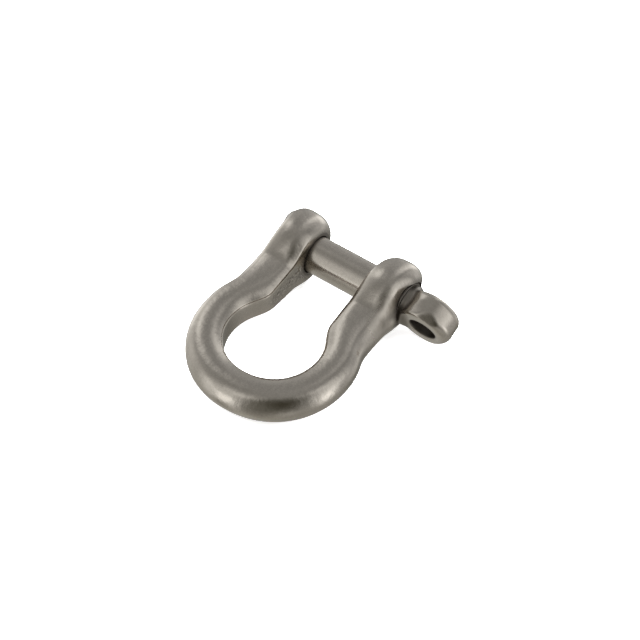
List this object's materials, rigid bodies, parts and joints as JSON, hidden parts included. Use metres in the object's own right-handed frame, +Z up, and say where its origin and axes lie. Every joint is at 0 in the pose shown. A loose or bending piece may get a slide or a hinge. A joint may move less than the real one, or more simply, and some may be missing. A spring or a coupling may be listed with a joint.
{
  "type": "bow shackle",
  "caption": "Stainless bow shackle: a rounded bow with two eared arms closed by a screw pin with a collar and a flat eye head.",
  "frame": {"origin": "middle of the bounding box, on the surface the shackle lies on", "axes": "+X along the pin toward its eye, crown of the bow toward -Y, +Z up"},
  "size_m": [0.0446, 0.049, 0.0147],
  "materials": {
    "bow_steel": "tumbled satin, softly mottled",
    "pin_steel": "smooth satin"
  },
  "bodies": {
    "bow": {"bow": "bow_steel"},
    "collar": {"pin_collar": "pin_steel"},
    "pin": {"screw_pin": "pin_steel"}
  },
  "joints": [
    {"name": "pin_travel", "type": "slide", "parent": "bow", "child": "collar", "axis": [1, 0, 0], "range_m": [0, 0.00718]},
    {"name": "pin_turn", "type": "hinge", "parent": "collar", "child": "pin", "pos_m": [0.01659, 0.01715, 0.00733], "axis": [1, 0, 0], "range_deg": [0, 2070]}
  ],
  "couplings": [
    {"joint": "pin_turn", "follows": "pin_travel", "rad_per_m": 5026.5}
  ]
}
